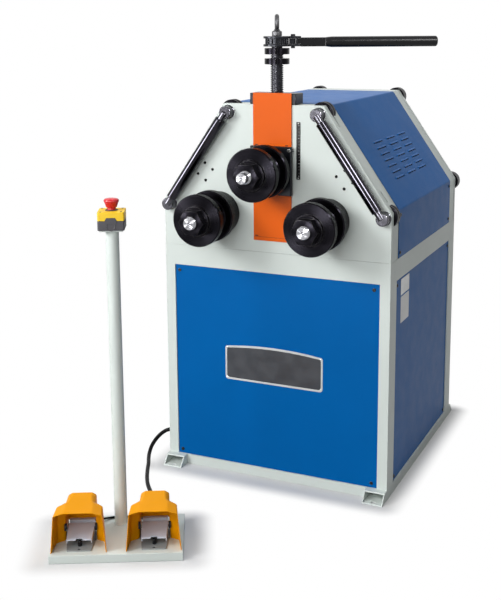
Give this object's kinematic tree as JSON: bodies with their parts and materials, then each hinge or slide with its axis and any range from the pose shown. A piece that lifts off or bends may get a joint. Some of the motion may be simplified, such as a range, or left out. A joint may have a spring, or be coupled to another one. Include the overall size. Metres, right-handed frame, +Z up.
{
  "type": "ring roller",
  "caption": "Powered three-roll ring bending machine on a tube-framed cabinet, with a screw and ratchet lever above the top roll and a cabled pedal and emergency-stop stand.",
  "frame": {"origin": "middle of the whole machine's footprint on the floor, cables left out", "axes": "+Z up, +X to the right seen from the front, -Y out of the front plate towards the operator"},
  "size_m": [0.8399, 1.442, 1.3635],
  "materials": {
    "grey_paint": "pale greenish grey satin powder coat",
    "blue_paint": "blue satin powder coat",
    "orange_paint": "orange satin paint",
    "amber_paint": "amber gloss paint on sheet steel",
    "black_steel": "black oxide, turned and oiled",
    "bright_steel": "bright turned steel",
    "polished_steel": "dark polished tube",
    "zinc": "zinc-plated sheet",
    "cast_housing": "painted casting",
    "black_plastic": "dark grey moulded plastic",
    "yellow_plastic": "yellow moulded plastic",
    "red_plastic": "red moulded plastic",
    "cable_rubber": "black rubber sheath"
  },
  "bodies": {
    "frame": {"base_frame": "grey_paint", "front_panel": "blue_paint", "left_panel": "blue_paint", "right_panel": "blue_paint", "rear_panel": "blue_paint", "front_plate": "grey_paint", "front_band": "grey_paint", "rear_plate": "grey_paint", "hood": "blue_paint", "upper_left_tie_bar": "black_steel", "lower_left_tie_bar": "black_steel", "upper_right_tie_bar": "black_steel", "lower_right_tie_bar": "black_steel", "slide_guide": "black_steel", "nut_block": "black_steel", "left_bearing": "black_steel", "right_bearing": "black_steel", "gear_motor": "cast_housing", "left_guide_rod": "black_steel", "right_guide_rod": "black_steel", "control_box": "grey_paint", "cable_gland": "black_plastic", "stand_base": "grey_paint", "stand_post": "grey_paint", "estop_base": "black_plastic", "estop_cover": "yellow_plastic", "left_guard": "amber_paint", "right_guard": "amber_paint", "left_pedal_base": "zinc", "right_pedal_base": "zinc", "main_cable": "cable_rubber", "link_cable": "cable_rubber"},
    "slide": {"slide_block": "black_steel", "upper_cover": "orange_paint", "lower_cover": "orange_paint"},
    "screw": {"lift_screw": "black_steel", "stop_nut": "black_steel", "lock_nut": "black_steel", "ratchet_wheel": "black_steel", "eyebolt": "black_steel"},
    "ratchet_lever": {"ratchet_fork": "black_steel", "lever": "black_steel"},
    "ratchet_pawl": {"pawl": "black_steel"},
    "top_roller": {"top_shaft": "bright_steel", "top_roll": "black_steel", "top_nut": "black_steel"},
    "left_roller": {"left_shaft": "bright_steel", "left_roll": "black_steel", "left_nut": "black_steel", "left_gear": "bright_steel"},
    "right_roller": {"right_shaft": "bright_steel", "right_roll": "black_steel", "right_nut": "black_steel", "right_gear": "bright_steel"},
    "pinion": {"drive_pinion": "bright_steel"},
    "left_sleeve": {"left_guide_sleeve": "polished_steel"},
    "right_sleeve": {"right_guide_sleeve": "polished_steel"},
    "button": {"estop_button": "red_plastic"},
    "left_pedal": {"left_treadle": "zinc"},
    "right_pedal": {"right_treadle": "zinc"}
  },
  "joints": [
    {"name": "screw_turn", "type": "hinge", "parent": "slide", "child": "screw", "pos_m": [0.00909, -0.00902, 1], "axis": [0, 0, 1], "range_deg": [-4670, 4670]},
    {"name": "slide_travel", "type": "slide", "parent": "frame", "child": "slide", "axis": [0, 0, 1], "range_m": [-0.078, 0.078]},
    {"name": "lever_swing", "type": "hinge", "parent": "slide", "child": "ratchet_lever", "pos_m": [0.00909, -0.00902, 1.2865], "axis": [0, 0, 1], "continuous": true},
    {"name": "pawl_flip", "type": "hinge", "parent": "ratchet_lever", "child": "ratchet_pawl", "pos_m": [0.04845, 0.0128, 1.2865], "axis": [0, 0, 1], "range_deg": [-12, 12]},
    {"name": "top_roll_spin", "type": "hinge", "parent": "slide", "child": "top_roller", "pos_m": [0.00909, -0.14102, 0.935], "axis": [0, -1, 0], "continuous": true},
    {"name": "left_roll_spin", "type": "hinge", "parent": "frame", "child": "left_roller", "pos_m": [-0.15841, -0.14102, 0.798], "axis": [0, -1, 0], "continuous": true},
    {"name": "right_roll_spin", "type": "hinge", "parent": "frame", "child": "right_roller", "pos_m": [0.17659, -0.14102, 0.798], "axis": [0, -1, 0], "continuous": true},
    {"name": "pinion_spin", "type": "hinge", "parent": "frame", "child": "pinion", "pos_m": [0.00909, 0.15398, 0.798], "axis": [0, -1, 0], "continuous": true},
    {"name": "left_sleeve_spin", "type": "hinge", "parent": "frame", "child": "left_sleeve", "pos_m": [-0.22466, -0.06302, 0.95325], "axis": [-0.5708, 0, -0.8211], "continuous": true},
    {"name": "right_sleeve_spin", "type": "hinge", "parent": "frame", "child": "right_sleeve", "pos_m": [0.24284, -0.06302, 0.95325], "axis": [0.5708, 0, -0.8211], "continuous": true},
    {"name": "estop_press", "type": "slide", "parent": "frame", "child": "button", "axis": [0, 0, -1], "range_m": [0, 0.006], "stiffness_N_per_m": 1500, "springref_m": -0.003},
    {"name": "left_pedal_press", "type": "hinge", "parent": "frame", "child": "left_pedal", "pos_m": [-0.29269, -0.60082, 0.0575], "axis": [0.891, 0.454, 0], "range_deg": [0, 7], "stiffness_Nm_per_rad": 3, "springref_deg": -5.73},
    {"name": "right_pedal_press", "type": "hinge", "parent": "frame", "child": "right_pedal", "pos_m": [-0.1234, -0.51456, 0.0575], "axis": [0.891, 0.454, 0], "range_deg": [0, 7], "stiffness_Nm_per_rad": 3, "springref_deg": -5.73}
  ],
  "couplings": [
    {"joint": "slide_travel", "follows": "screw_turn", "m_per_rad": 0.00095493},
    {"joint": "right_roll_spin", "follows": "left_roll_spin", "ratio": 1},
    {"joint": "pinion_spin", "follows": "left_roll_spin", "ratio": -1.3103}
  ]
}
